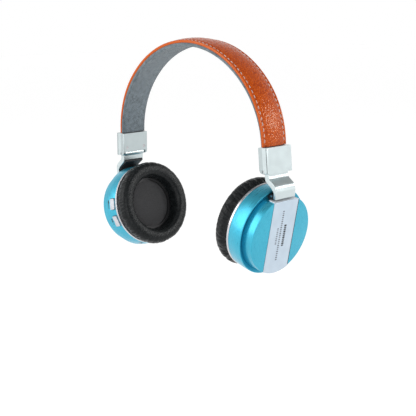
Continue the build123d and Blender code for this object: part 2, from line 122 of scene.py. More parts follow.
# edges rounded on CAD nodes that stay, after their double points are welded
CAD_EDGES = {"end_cap_outer": 0.8, "end_cap_inner": 0.45, "arm_liner": 0.2, "hinge_block": 0.15}
WELD_DISTANCE = 0.01

# cup, in millimetres: radii, and depths behind the disc's face
DISC_RADIUS = 31.27
DISC_TOP = 27.75
DISC_SEAT = 10.4
DISC_EDGE = 0.55
DISC_TOP_EDGE = 0.25

# face plate: heights over the disc's face, the dark strips along its sides that paint its shadow on the disc, and
# its print
PLATE_HALF_WIDTH = 13.4
PLATE_EDGE = 0.16
PLATE_FLANGE = 0.8
PLATE_FLANGE_DEPTH = 6.5
FLANGE_EDGE = 0.2
PLATE_PROUD = 0.3
PLATE_SEAT = -0.3
PLATE_FRONT_SHADOW = 1.05
PLATE_REAR_SHADOW = 0.22
SHADOW_STRIP_OVERLAP = 0.1
SHADOW_STRIP_INSET = 0.3
PRINT_HEIGHT = 0.03
PRINT_SINK = 0.02

# shell and trim ring
RIM_SEGMENTS = 256
RIM_RADIUS = 34.95
RIM_DEPTH = 8.79
DISH_RADIUS = 31.4
HOUSING_BACK_RADIUS = 34.3
HOUSING_BACK = 22.0
HOUSING_WALL = 1.6
HOUSING_FRONT_WALL = 1.8
TRIM_RADIUS = 34.5
TRIM_BORE = 32.6
TRIM_BACK = 23.9

# ear cushion: its CAD outline, drawn in before it is filled
RING_BACK = 26.2
BAFFLE_RADIUS = 33.5
CUSHION_SKIRT_DEPTH = 24.0
CUSHION_SKIRT_RADIUS = 33.6
CUSHION_RADIUS = 36.3
CUSHION_WAIST_DEPTH = 31.5
CUSHION_FACE_DEPTH = 38.5
CUSHION_OPENING = 20.5
CUSHION_SHRINK = 1.5

# cushion filling, at a larger scale: no point moves more than the limit, and the skin is held
# more and more firmly over the last stretch before its ring
SIM_SCALE = 10
SIM_VOXEL = 0.016
SIM_FRAMES = 20
SIM_LIMIT = 13.0
SIM_HOLD = 1.5

# cushion pleats: where they start, are deepest and fade, in depth and radius
PLEAT_SEED = 11
PLEAT_COUNT = 112
PLEAT_DEPTH = 0.95
PLEAT_MIDDLE = 28.0
PLEAT_REACH = 6.5
PLEAT_START_DEPTHS = (24.2, 25.7)
PLEAT_OUTER_RADII = (29.0, 33.0)
PLEAT_INNER_RADII = (22.0, 25.0)

# keys on the left cup's rim, at angles turned down from straight behind
KEY_LENGTH = 9.6
KEY_WIDTH = 5.4
KEY_BOTTOM = 31.5
KEY_CROWN = 35.45
KEY_CORNER = 1.0
KEY_EDGE = 0.35
KEY_CLEARANCE = 0.56
WINDOW_REACH = (30.0, 40.0)
WINDOW_CORNER = 1.2
CONTROL_DEPTH = 18.4
PLAY_ANGLE = math.radians(-8.5)
ROCKER_ANGLE = math.radians(16.5)
SADDLE_LENGTH = 2.2
SADDLE_DIP = 0.28
SADDLE_CORNER = 0.25
SIGN_DEPTH = 13.0
# printed signs beside the keys: angle in degrees, length round the rim and width
KEY_SIGNS = [
    (-13.9, 1.3, 1.5), (-11.6, 1.1, 1.7), (-9.7, 0.8, 1.4), (-7.6, 1.0, 0.9), (-5.6, 0.8, 0.9),
    (-3.9, 0.7, 0.8), (13.2, 1.6, 1.3), (16.2, 1.5, 1.3), (20.3, 1.0, 0.9),
]


# mesh tools


def to_object(name, points, faces, matrix=None, smooth=True):
    """A mesh object from points in millimetres and faces."""
    mesh = bpy.data.meshes.new(name)
    mesh.from_pydata([tuple(c * MM for c in p) for p in points], [], [tuple(f) for f in faces])
    mesh.validate()
    if smooth:
        mesh.shade_smooth()
    piece = bpy.data.objects.new(name, mesh)
    bpy.context.scene.collection.objects.link(piece)
    if matrix is not None:
        piece.matrix_world = matrix
    clean = bmesh.new()
    clean.from_mesh(mesh)
    bmesh.ops.recalc_face_normals(clean, faces=clean.faces)
    clean.to_mesh(mesh)
    clean.free()
    return piece


def rounded(corners, radii, steps=4):
    """An outline with its corners rounded off, each by its own radius."""
    count = len(corners)
    out = []
    for i, radius in enumerate(radii):
        here = Vector(corners[i])
        if radius <= 0:
            out.append(tuple(here))
            continue
        back = (Vector(corners[i - 1]) - here).normalized()
        on = (Vector(corners[(i + 1) % count]) - here).normalized()
        half = math.acos(max(-1.0, min(1.0, back.dot(on)))) / 2
        reach = radius / math.tan(half)
        centre = here + (back + on).normalized() * radius / math.sin(half)
        first = here + back * reach - centre
        last = here + on * reach - centre
        turn = first.angle_signed(last)
        for step in range(steps + 1):
            angle = -turn * step / steps
            cosine, sine = math.cos(angle), math.sin(angle)
            out.append((centre.x + first.x * cosine - first.y * sine,
                        centre.y + first.x * sine + first.y * cosine))
    return out


def lathe(name, profile, matrix, segments=192):
    """A piece turned about local Z from a closed outline of (radius, depth) points."""
    points, rings = [], []
    for radius, depth in profile:
        if radius < 1e-6:
            rings.append([len(points)] * segments)
            points.append((0, 0, -depth))
            continue
        rings.append(list(range(len(points), len(points) + segments)))
        for i in range(segments):
            angle = math.tau * i / segments
            points.append((radius * math.cos(angle), radius * math.sin(angle), -depth))
    faces = []
    for k, one in enumerate(rings):
        two = rings[(k + 1) % len(rings)]
        for i in range(segments):
            j = (i + 1) % segments
            corners = [one[i], one[j], two[j], two[i]]
            face = [c for n, c in enumerate(corners) if c != corners[n - 1]]
            if len(face) > 2:
                faces.append(face)
    return to_object(name, points, faces, matrix)


def bevel_edges(piece, width, segments=3, angle=40.0, harden=True):
    """Rounds the edges that turn by more than an angle in degrees."""
    bevel = piece.modifiers.new("edge", "BEVEL")
    bevel.width = width * MM
    bevel.segments = segments
    bevel.limit_method = "ANGLE"
    bevel.angle_limit = math.radians(angle)
    bevel.use_clamp_overlap = True
    bevel.harden_normals = harden


def apply_modifiers(piece):
    """Replaces a piece's mesh by what its modifiers make of it."""
    graph = bpy.context.evaluated_depsgraph_get()
    mesh = bpy.data.meshes.new_from_object(piece.evaluated_get(graph))
    piece.modifiers.clear()
    piece.data = mesh


def cut(piece, cutter):
    """Subtracts a closed mesh from a piece."""
    boolean = piece.modifiers.new("cut", "BOOLEAN")
    boolean.operation = "DIFFERENCE"
    boolean.solver = "EXACT"
    boolean.object = cutter
    bpy.context.view_layer.update()
    apply_modifiers(piece)
    bpy.data.objects.remove(cutter)


def prism(name, outline, low, high, matrix=None, smooth=False):
    """A plate from an outline in local XY between two heights in local Z."""
    count = len(outline)
    points = [(x, y, low) for x, y in outline] + [(x, y, high) for x, y in outline]
    faces = [list(range(count))[::-1], list(range(count, 2 * count))]
    faces += [(i, (i + 1) % count, count + (i + 1) % count, count + i) for i in range(count)]
    return to_object(name, points, faces, matrix, smooth)


def dress(piece, body, look):
    """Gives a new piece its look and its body."""
    piece.data.materials.clear()
    piece.data.materials.append(looks[look])
    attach(piece, body)


# materials


def new_material(name, color, roughness, metallic=0.0, **sockets):
    """A material with one Principled shader; sockets are constant values by socket name."""
    material = bpy.data.materials.new(name)
    material.use_nodes = True
    shader = material.node_tree.nodes["Principled BSDF"]
    shader.inputs["Base Color"].default_value = (*color, 1)
    shader.inputs["Roughness"].default_value = roughness
    shader.inputs["Metallic"].default_value = metallic
    for label, value in sockets.items():
        shader.inputs[label.replace("_", " ")].default_value = value
    return material, shader


def add(material, kind, **properties):
    """A new node in a material, with its properties set."""
    node = material.node_tree.nodes.new(kind)
    for label, value in properties.items():
        setattr(node, label, value)
    return node


def join(material, source, target):
    """Links one node's output to another's input."""
    material.node_tree.links.new(source, target)


def coordinates(material):
    """Object coordinates in millimetres."""
    where = add(material, "ShaderNodeTexCoord")
    mapping = add(material, "ShaderNodeMapping")
    mapping.inputs["Scale"].default_value = [1 / MM] * 3
    join(material, where.outputs["Object"], mapping.inputs["Vector"])
    return mapping.outputs["Vector"]


def noise_field(material, vector, scale, detail=3.0, roughness=0.5):
    """Cloudy noise from 0 to 1; a larger scale is finer."""
    node = add(material, "ShaderNodeTexNoise")
    node.inputs["Scale"].default_value = scale
    node.inputs["Detail"].default_value = detail
    node.inputs["Roughness"].default_value = roughness
    join(material, vector, node.inputs["Vector"])
    return node.outputs["Fac"]


def spread(material, value, low, high, from_low=0.3, from_high=0.7):
    """Maps a field's usual range to another."""
    node = add(material, "ShaderNodeMapRange")
    node.inputs["From Min"].default_value = from_low
    node.inputs["From Max"].default_value = from_high
    node.inputs["To Min"].default_value = low
    node.inputs["To Max"].default_value = high
    join(material, value, node.inputs["Value"])
    return node.outputs["Result"]


def tint(material, shader, value, stops):
    """Colours the surface by a field from 0 to 1."""
    ramp = add(material, "ShaderNodeValToRGB")
    while len(ramp.color_ramp.elements) < len(stops):
        ramp.color_ramp.elements.new(0.5)
    for element, (place, color) in zip(ramp.color_ramp.elements, stops):
        element.position = place
        element.color = (*color, 1)
    join(material, value, ramp.inputs["Fac"])
    join(material, ramp.outputs["Color"], shader.inputs["Base Color"])


def bump(material, shader, layers):
    """Stacks bump layers, each (height field, depth in millimetres)."""
    normal = None
    for height, depth in layers:
        node = add(material, "ShaderNodeBump")
        node.inputs["Distance"].default_value = depth * MM
        node.inputs["Strength"].default_value = 1.0
        join(material, height, node.inputs["Height"])
        if normal is not None:
            join(material, normal, node.inputs["Normal"])
        normal = node.outputs["Normal"]
    join(material, normal, shader.inputs["Normal"])


def cells(material, vector, scale):
    """Small cells: 1 in the middle of each and 0 along its edges."""
    node = add(material, "ShaderNodeTexVoronoi", feature="DISTANCE_TO_EDGE")
    node.inputs["Scale"].default_value = scale
    join(material, vector, node.inputs["Vector"])
    return spread(material, node.outputs["Distance"], 0.0, 1.0, 0.0, 0.28)


def mixed(material, one, two, share):
    """One field plus a share of another."""
    node = add(material, "ShaderNodeMath", operation="MULTIPLY_ADD")
    join(material, two, node.inputs[0])
    node.inputs[1].default_value = share
    join(material, one, node.inputs[2])
    return node.outputs["Value"]


def leather_material():
    """Tan leather with painted shade in the creases of the mesh's own grain."""
    material, shader = new_material(
        "tan_leather", (0.55, 0.085, 0.008), 0.24,
        Specular_IOR_Level=0.38, Specular_Tint=(1.0, 0.80, 0.55, 1))
    place = coordinates(material)
    grain = add(material, "ShaderNodeAttribute", attribute_name="grain").outputs["Fac"]
    fine = noise_field(material, place, 2.2, 4.0, 0.6)
    clouds = noise_field(material, place, 0.10, 2.0)
    # colour follows the grain's height: painted shade in its creases, with random tone from the noise on top
    tone = mixed(material, mixed(material, grain, fine, 0.35), clouds, 0.35)
    tint(material, shader, tone, [
        (0.35, (0.29, 0.030, 0.001)), (0.80, (0.465, 0.064, 0.002)), (1.0, (0.525, 0.082, 0.003)),
    ])
    join(material, spread(material, fine, 0.13, 0.22), shader.inputs["Roughness"])
    bump(material, shader, [(fine, 0.035)])
    return material


def thread_material():
    """Pale twisted thread."""
    material, shader = new_material("thread", (0.80, 0.74, 0.70), 0.7, Sheen_Weight=0.3)
    place = coordinates(material)
    twist = noise_field(material, place, 4.0, 2.0)
    tint(material, shader, twist, [(0.3, (0.50, 0.43, 0.40)), (0.7, (0.76, 0.70, 0.67))])
    bump(material, shader, [(twist, 0.12)])
    return material


def fabric_material(name, dark, light, pitch):
    """A plain weave: two crossing sets of threads with uneven colour."""
    material, shader = new_material(name, light, 0.85, Sheen_Weight=0.4, Specular_IOR_Level=0.25)
    place = coordinates(material)
    warp = add(material, "ShaderNodeTexWave", wave_type="BANDS", bands_direction="DIAGONAL")
    weft = add(material, "ShaderNodeTexWave", wave_type="BANDS", bands_direction="Y")
    for wave in (warp, weft):
        wave.inputs["Scale"].default_value = 1.0 / pitch
        wave.inputs["Distortion"].default_value = 0.6
        wave.inputs["Detail"].default_value = 1.0
        join(material, place, wave.inputs["Vector"])
    weave = mixed(material, warp.outputs["Fac"], weft.outputs["Fac"], 1.0)
    clouds = noise_field(material, place, 0.35, 3.0)
    tone = mixed(material, clouds, weave, 0.18)
    tint(material, shader, tone, [(0.35, dark), (0.85, light)])
    bump(material, shader, [(clouds, 0.2), (weave, 0.06)])
    return material


def leatherette_material():
    """Black leatherette: a fine grain over soft folds."""
    material, shader = new_material(
        "black_leatherette", (0.006, 0.0075, 0.008), 0.36, Specular_IOR_Level=0.19)
    place = coordinates(material)
    grain = cells(material, place, 1.9)
    folds = noise_field(material, place, 0.55, 4.0, 0.6)
    tint(material, shader, folds, [(0.3, (0.0035, 0.0045, 0.005)), (0.7, (0.009, 0.011, 0.012))])
    join(material, spread(material, folds, 0.20, 0.34), shader.inputs["Roughness"])
    bump(material, shader, [(folds, 0.14), (grain, 0.03)])
    return material


def brushed_material(name, dark, light, roughness, anisotropy, streak):
    """Metal brushed round the piece's own Z axis, its streaks about streak millimetres wide."""
    material, shader = new_material(
        name, light, roughness, 0.78,
        Anisotropic=anisotropy, Coat_Weight=0.35, Coat_Roughness=0.22)
    where = add(material, "ShaderNodeTexCoord")
    split = add(material, "ShaderNodeSeparateXYZ")
    join(material, where.outputs["Object"], split.inputs["Vector"])
    flat = add(material, "ShaderNodeCombineXYZ")
    join(material, split.outputs["X"], flat.inputs["X"])
    join(material, split.outputs["Y"], flat.inputs["Y"])
    heading = add(material, "ShaderNodeVectorMath", operation="NORMALIZE")
    join(material, flat.outputs["Vector"], heading.inputs[0])
    length = add(material, "ShaderNodeVectorMath", operation="LENGTH")
    join(material, flat.outputs["Vector"], length.inputs[0])
    lift = add(material, "ShaderNodeMath", operation="ADD")
    join(material, length.outputs["Value"], lift.inputs[0])
    join(material, split.outputs["Z"], lift.inputs[1])
    across = add(material, "ShaderNodeCombineXYZ")
    join(material, lift.outputs["Value"], across.inputs["Z"])
    fine = add(material, "ShaderNodeVectorMath", operation="SCALE")
    join(material, across.outputs["Vector"], fine.inputs[0])
    fine.inputs["Scale"].default_value = 1 / (streak * MM)
    around = add(material, "ShaderNodeVectorMath", operation="SCALE")
    join(material, heading.outputs["Vector"], around.inputs[0])
    around.inputs["Scale"].default_value = 5.0
    total = add(material, "ShaderNodeVectorMath", operation="ADD")
    join(material, fine.outputs["Vector"], total.inputs[0])
    join(material, around.outputs["Vector"], total.inputs[1])
    streaks = noise_field(material, total.outputs["Vector"], 1.0, 5.0, 0.65)
    clouds = noise_field(material, coordinates(material), 0.05, 2.0)
    tone = mixed(material, streaks, clouds, 0.35)
    tint(material, shader, tone, [(0.42, dark), (0.82, light)])
    gloss = spread(material, streaks, roughness - 0.06, roughness + 0.08)
    join(material, gloss, shader.inputs["Roughness"])
    tangent = add(material, "ShaderNodeTangent", direction_type="RADIAL", axis="Z")
    join(material, tangent.outputs["Tangent"], shader.inputs["Tangent"])
    bump(material, shader, [(streaks, 0.045)])
    return material


def satin_material(name, dark, light, roughness, metallic=1.0, grain=6.0, depth=0.006):
    """Fine-grained metal or plastic with faint handling marks."""
    material, shader = new_material(name, light, roughness, metallic)
    place = coordinates(material)
    speckle = noise_field(material, place, grain, 3.0, 0.6)
    clouds = noise_field(material, place, 0.12, 3.0)
    tint(material, shader, clouds, [(0.35, dark), (0.65, light)])
    gloss = spread(material, clouds, roughness - 0.02, roughness + 0.03)
    join(material, gloss, shader.inputs["Roughness"])
    bump(material, shader, [(speckle, depth)])
    return material


def mesh_cloth_material():
    """Open black speaker cloth over a dark driver."""
    material, shader = new_material("speaker_cloth", (0.02, 0.02, 0.022), 0.8, Sheen_Weight=0.25)
    place = coordinates(material)
    holes = cells(material, place, 1.4)
    tint(material, shader, holes, [(0.2, (0.035, 0.035, 0.038)), (0.8, (0.006, 0.006, 0.007))])
    bump(material, shader, [(holes, -0.12)])
    return material


# satin looks: darker and lighter colour, roughness, metallic, the speckle's fineness and depth
SATIN_LOOKS = {
    "satin_silver": ((0.57, 0.64, 0.65), (0.60, 0.675, 0.685), 0.31),
    # inner_silver_shaded: a darker copy of satin_silver for the end box's inner cap: painted shade
    "inner_silver_shaded": ((0.45, 0.51, 0.52), (0.48, 0.54, 0.55), 0.31),
    "plate_silver": ((0.52, 0.61, 0.70), (0.56, 0.655, 0.745), 0.42, 0.75, 9.0, 0.012),
    # the flange's look is a lighter, less metallic copy of the plate's silver: painted light on the flange, which
    # lies in the arm's shade
    "flange_silver_lit": ((0.78, 0.80, 0.84), (0.88, 0.90, 0.94), 0.45, 0.55),
    "trim_silver": ((0.58, 0.58, 0.60), (0.66, 0.66, 0.68), 0.26),
    "silver_keys": ((0.55, 0.56, 0.60), (0.68, 0.69, 0.73), 0.34, 0.8),
    "spring_steel": ((0.38, 0.38, 0.39), (0.55, 0.55, 0.57), 0.30),
    "driver_steel": ((0.25, 0.25, 0.26), (0.38, 0.38, 0.39), 0.4),
    "driver_film": ((0.20, 0.17, 0.12), (0.28, 0.25, 0.18), 0.3, 0.0),
    "black_plastic": ((0.010, 0.010, 0.011), (0.018, 0.018, 0.020), 0.5, 0.0, 5.0, 0.015),
    "cable_rubber": ((0.012, 0.012, 0.012), (0.022, 0.022, 0.022), 0.6, 0.0),
    "circuit_green": ((0.01, 0.10, 0.035), (0.02, 0.17, 0.06), 0.35, 0.0),
    "battery_wrap": ((0.30, 0.31, 0.33), (0.42, 0.43, 0.46), 0.3, 0.6),
    "print_grey": ((0.10, 0.11, 0.14), (0.16, 0.17, 0.20), 0.6, 0.0),
    "print_dark": ((0.012, 0.014, 0.02), (0.03, 0.033, 0.04), 0.6, 0.0),
}

looks = {name: satin_material(name, *values) for name, values in SATIN_LOOKS.items()}
looks["tan_leather"] = leather_material()
looks["thread"] = thread_material()
looks["grey_fabric"] = fabric_material(
    "grey_fabric", (0.055, 0.075, 0.09), (0.17, 0.215, 0.245), pitch=0.5)
looks["teal_shell"] = brushed_material(
    "teal_shell", (0.024, 0.345, 0.505), (0.050, 0.455, 0.615), 0.30, anisotropy=0.6, streak=0.42)
looks["black_leatherette"] = leatherette_material()
looks["speaker_cloth"] = mesh_cloth_material()


# the frame's own places


def cup_matrix(side):
    """A cup's own axes: Z is the disc's outward normal and Y is up along its face."""
    seat = mounts[f"{side}_ear_seat"]
    outward = -Vector(seat["axis"]).normalized()
    up = (Vector((0, 0, 1)) - outward * outward.z).normalized()
    across = up.cross(outward)
    centre = Vector(seat["pos_m"]) + outward * CUSHION_FACE_DEPTH * MM
    turn = Matrix((across, up, outward)).transposed().to_4x4()
    return Matrix.Translation(centre) @ turn


fold_pin = Vector(joints["right_fold"]["pos_m"]) / MM
slide_axis = Vector(joints["right_slide"]["axis"])
LEAN = math.atan2(slide_axis.x, -slide_axis.z)


def arch_rail(crown_z, crown_radius, leg_x, leg_end, spacing):
    """Places (x, z) and outward directions along an arch, left leg's end to right leg's end."""
    crown_centre = crown_z - crown_radius
    last = math.pi / 2 - LEAN
    reach = math.sin(SHOULDER_START + LEAN)
    wall = fold_pin.x * math.cos(LEAN) + fold_pin.z * math.sin(LEAN) + leg_x
    radius = (wall - crown_centre * math.sin(LEAN) - crown_radius * reach) / (1 - reach)
    centre_x = (crown_radius - radius) * math.sin(SHOULDER_START)
    centre_z = crown_centre + (crown_radius - radius) * math.cos(SHOULDER_START)
    foot_x = fold_pin.x + leg_x * math.cos(LEAN) - leg_end * math.sin(LEAN)
    foot_z = fold_pin.z + leg_x * math.sin(LEAN) + leg_end * math.cos(LEAN)
    heel_x = centre_x + radius * math.sin(last)
    heel_z = centre_z + radius * math.cos(last)
    crown_run = crown_radius * SHOULDER_START
    shoulder_run = radius * (last - SHOULDER_START)
    leg_run = math.hypot(foot_x - heel_x, foot_z - heel_z)
    half_run = crown_run + shoulder_run + leg_run
    count = round(half_run / spacing)
    half = []
    for i in range(count + 1):
        run = half_run * i / count
        if run <= crown_run:
            turn = run / crown_radius
            place = (crown_radius * math.sin(turn), crown_centre + crown_radius * math.cos(turn))
        elif run <= crown_run + shoulder_run:
            turn = SHOULDER_START + (run - crown_run) / radius
            place = (centre_x + radius * math.sin(turn), centre_z + radius * math.cos(turn))
        else:
            turn = last
            share = (run - crown_run - shoulder_run) / leg_run
            place = (heel_x + (foot_x - heel_x) * share, heel_z + (foot_z - heel_z) * share)
        half.append((*place, math.sin(turn), math.cos(turn)))
    left = [(-x, z, -nx, nz) for x, z, nx, nz in half[:0:-1]]
    return np.array(left + half)


def sweep_band(name, rail, section):
    """A closed section carried along a rail. section(index) gives (y, height) points."""
    points, faces = [], []
    count = len(section(0))
    for i, (x, z, nx, nz) in enumerate(rail):
        points += [(x + nx * h, y, z + nz * h) for y, h in section(i)]
    for i in range(len(rail) - 1):
        for k in range(count):
            m = (k + 1) % count
            faces.append((i * count + k, i * count + m, (i + 1) * count + m, (i + 1) * count + k))
    faces.append(list(range(count))[::-1])
    faces.append(list(range((len(rail) - 1) * count, len(rail) * count)))
    return to_object(name, points, faces)


# headband


def leather_height(y, to_end):
    """The strap's upper surface over the seam: flat margins, a stitched groove, a padded middle.

    The strap is a little fuller away from its ends.
    """
    inner = max(0.0, 1 - (y / MIDDLE_HALF_WIDTH) ** 2)
    groove = GROOVE_DEPTH * math.exp(-((abs(y) - STITCH_Y) / GROOVE_WIDTH) ** 2)
    margin = MARGIN_HEIGHT + STRAP_SWELL * min(1.0, to_end / SWELL_RUN)
    return margin + MIDDLE_PADDING * inner ** MIDDLE_ROUNDNESS - groove


def pebble(run, y):
    """The leather's grain: 1 on top of each pebble, falling to 0 in the creases between."""
    drift = noise.noise(Vector((run * 0.5, y * 0.5, 0.0))) * PEBBLE_DRIFT
    place = Vector((run / PEBBLE_SIZE + drift, y / PEBBLE_SIZE - drift, 0.0))
    near = noise.voronoi(place)[0]
    return 1 - max(0.0, 1 - (near[1] - near[0]) / CREASE_SHARE) ** 2


def needle_hole(run, y, pitch):
    """How far the skin dips where the thread goes through, between two stitches."""
    along = (run / pitch) % 1.0 - 0.5
    across = (abs(y) - STITCH_Y) / HOLE_WIDTH
    return HOLE_DEPTH * math.exp(-(along * pitch / HOLE_LENGTH) ** 2 - across ** 2)


def leather_section(run, pitch, to_end):
    """The strap's section at a run along the seam, with the grain's height at each point."""
    edge = LEATHER_EDGE
    flat = LEATHER_HALF_WIDTH - edge
    top = [flat - 2 * flat * i / LEATHER_POINTS for i in range(LEATHER_POINTS + 1)]
    side = [(math.pi / 2) * (1 - 2 * i / 6) for i in range(1, 6)]
    grain = [pebble(run, y) for y in top]
    points = [(y, leather_height(y, to_end) - PEBBLE_DEPTH * (1 - g) - needle_hole(run, y, pitch))
              for y, g in zip(top, grain)]
    height = leather_height(flat, to_end)
    points += [(-flat - edge * math.cos(a), height / 2 + height / 2 * math.sin(a)) for a in side]
    points += [(-flat + 2 * flat * i / 12, 0.02) for i in range(13)]
    points += [(flat + edge * math.cos(a), height / 2 - height / 2 * math.sin(a)) for a in side]
    return points, grain + [1.0] * (len(points) - len(grain))


def build_leather():
    """The tan strap; its grain's height is kept as an attribute, which the material reads to paint shade in the
    creases.
    """
    rail = arch_rail(SEAM_CROWN_Z, SEAM_CROWN_RADIUS, SEAM_X, BAND_END, RAIL_STEP)
    half_run = np.hypot(*np.diff(rail[:, :2], axis=0).T).sum() / 2
    pitch = half_run / round(half_run / STITCH_PITCH)
    step = 2 * half_run / (len(rail) - 1)
    runs = [i * step - half_run for i in range(len(rail))]
    sections = [leather_section(run, pitch, half_run - abs(run)) for run in runs]
    strap = sweep_band("headband_leather_strap", rail, lambda i: sections[i][0])
    grain = strap.data.attributes.new("grain", "FLOAT", "POINT")
    grain.data.foreach_set("value", [g for section in sections for g in section[1]])
    dress(strap, "headband", "tan_leather")
    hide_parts("headband_leather")


def build_stitching():
    """Two rows of thread, one short raised stitch after another."""
    rail = arch_rail(SEAM_CROWN_Z, SEAM_CROWN_RADIUS, SEAM_X, BAND_END, STITCH_PITCH)
    points, faces = [], []
    rings, sides = 7, 8
    for i, (x, z, nx, nz) in enumerate(rail[1:-1], 1):
        to_end = STITCH_PITCH * min(i, len(rail) - 1 - i)
        along = Vector((nz, 0, -nx))
        outward = Vector((nx, 0, nz))
        for y in (-STITCH_Y, STITCH_Y):
            middle = Vector((x, y, z)) + outward * (leather_height(y, to_end) + STITCH_LIFT)
            slant = Vector((0, 1, 0)) * STITCH_SLANT * math.copysign(1, y)
            start = len(points)
            for r in range(rings):
                share = 2 * r / (rings - 1) - 1
                thick = THREAD_RADIUS * math.sqrt(max(0.03, 1 - share ** 4))
                dip = outward * -STITCH_DIP * share ** 4
                centre = middle + along * share * STITCH_LENGTH / 2 + slant * share + dip
                for s in range(sides):
                    angle = math.tau * s / sides
                    offset = Vector((0, 1, 0)) * math.cos(angle) + outward * math.sin(angle)
                    points.append(tuple(centre + offset * thick))
            for r in range(rings - 1):
                for s in range(sides):
                    m = (s + 1) % sides
                    base = start + r * sides
                    faces.append((base + s, base + m, base + sides + m, base + sides + s))
            faces.append([start + s for s in range(sides)][::-1])
            faces.append([start + (rings - 1) * sides + s for s in range(sides)])
    stitches = to_object("headband_stitching", points, faces)
    dress(stitches, "headband", "thread")


def build_pad():
    """The padded lining: rounded lower edges and a soft, slightly uneven underside."""
    rail = arch_rail(SEAM_CROWN_Z, SEAM_CROWN_RADIUS, SEAM_X, BAND_END, PAD_RAIL_STEP)
    lower = arch_rail(0.0, PAD_CROWN_RADIUS, PAD_LEG_X, BAND_END, PAD_RAIL_STEP / 4)
    depth = []
    for x, z in rail[:, :2]:
        gap = np.hypot(lower[:, 0] - x, lower[:, 1] - z)
        depth.append(gap.min())
    half = PAD_HALF_WIDTH

    def section(i):
        """The lining's (y, height) points at one place of the rail."""
        full = depth[i]
        edge = min(PAD_EDGE, full * 0.8)
        flat = half - edge
        points = []
        for k in range(25):
            y = -flat + 2 * flat * k / 24
            spot = Vector((y * 0.35, rail[i][0] * 0.13, rail[i][1] * 0.13))
            soft = PAD_UNEVENNESS * noise.noise(spot)
            swell = PAD_SWELL * (1 - (y / flat) ** 2)
            points.append((y, -full + PAD_SWELL - swell + min(0.0, soft)))
        base = full - PAD_SWELL
        for k in range(1, 7):
            angle = math.pi / 2 * k / 6
            points.append((flat + edge * math.sin(angle), -base + edge * (1 - math.cos(angle))))
        points += [(half, -0.25), (half - 0.2, -0.02)]
        points += [(-half + 0.2, -0.02), (-half, -0.25)]
        for k in range(5, -1, -1):
            angle = math.pi / 2 * (k + 1) / 6 - (math.pi / 12 if k == 0 else 0)
            points.append((-flat - edge * math.sin(angle), -base + edge * (1 - math.cos(angle))))
        return points

    pad = sweep_band("headband_pad_lining", rail, section)
    dress(pad, "headband", "grey_fabric")
    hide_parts("headband_pad")


# cups


def build_disc(side, matrix):
    """The brushed front cap with its flat top."""
    back = DISC_SEAT - 0.05
    profile = rounded(
        [(0, 0.0), (DISC_RADIUS, 0.0), (DISC_RADIUS, back), (0, back)], [0, DISC_EDGE, 0.25, 0], 5)
    disc = lathe(f"{side}_disc", profile, matrix)
    mesh = bmesh.new()
    mesh.from_mesh(disc.data)
    whole = mesh.verts[:] + mesh.edges[:] + mesh.faces[:]
    cutline = bmesh.ops.bisect_plane(
        mesh, geom=whole, plane_co=(0, DISC_TOP * MM, 0), plane_no=(0, 1, 0), clear_outer=True)
    edges = [e for e in cutline["geom_cut"] if isinstance(e, bmesh.types.BMEdge)]
    bmesh.ops.holes_fill(mesh, edges=edges)
    mesh.to_mesh(disc.data)
    mesh.free()
    bevel_edges(disc, DISC_TOP_EDGE, segments=2, angle=50)
    dress(disc, f"{side}_cup", "teal_shell")
    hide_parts(f"{side}_front_cap")


def build_plate(side, matrix):
    """The silver plate down the disc, with its flange over the flat top."""
    half = PLATE_HALF_WIDTH
    sweep = math.asin(half / DISC_RADIUS)
    turns = [-sweep + 2 * sweep * i / 40 for i in range(41)]
    outline = [(DISC_RADIUS * math.sin(turn), -DISC_RADIUS * math.cos(turn)) for turn in turns]
    top = DISC_TOP + PLATE_FLANGE
    corner = math.sqrt(DISC_RADIUS ** 2 - top ** 2)
    shoulder = math.sqrt(DISC_RADIUS ** 2 - half ** 2)
    outline += [(half, shoulder), (corner, top), (-corner, top), (-half, shoulder)]
    plate = prism(f"{side}_plate", outline, PLATE_SEAT, PLATE_PROUD, matrix)
    bevel_edges(plate, PLATE_EDGE, segments=2)
    flange = prism(
        f"{side}_plate_flange",
        [(-corner, DISC_TOP), (corner, DISC_TOP), (corner, top), (-corner, top)],
        -PLATE_FLANGE_DEPTH, PLATE_PROUD - 0.05, matrix)
    bevel_edges(flange, FLANGE_EDGE, segments=2)
    dress(plate, f"{side}_cup", "plate_silver")
    # the flange wears a lighter copy of the plate's silver: painted light
    dress(flange, f"{side}_cup", "flange_silver_lit")
    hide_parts(f"{side}_face_plate")
    # dark strips along the plate's long sides: painted shadow of the plate on the disc, wider on the front side
    for edge, inner, gap in (
        ("front", half - SHADOW_STRIP_OVERLAP, PLATE_FRONT_SHADOW),
        ("rear", -half + SHADOW_STRIP_OVERLAP, -PLATE_REAR_SHADOW),
    ):
        outer = inner + gap
        near, far = [math.sqrt(DISC_RADIUS ** 2 - x * x) - SHADOW_STRIP_INSET for x in (inner, outer)]
        corners = [
            (inner, -near), (outer, -far),
            (outer, min(far, DISC_TOP)), (inner, min(near, DISC_TOP)),
        ]
        strip = prism(
            f"{side}_plate_shadow_{edge}", [(x * OUTWARD[side], y) for x, y in corners],
            -SHADOW_STRIP_OVERLAP, PRINT_HEIGHT, matrix)
        dress(strip, f"{side}_cup", "print_dark")


def mark(name, x, y, width, length, look, side, matrix):
    """One small printed bar on the plate."""
    outline = rounded(
        [(x - width / 2, y - length / 2), (x + width / 2, y - length / 2),
         (x + width / 2, y + length / 2), (x - width / 2, y + length / 2)],
        [min(width, length) * 0.3] * 4, 2)
    bar = prism(name, outline, PLATE_PROUD - PRINT_SINK, PLATE_PROUD + PRINT_HEIGHT, matrix)
    dress(bar, f"{side}_cup", look)
    return bar


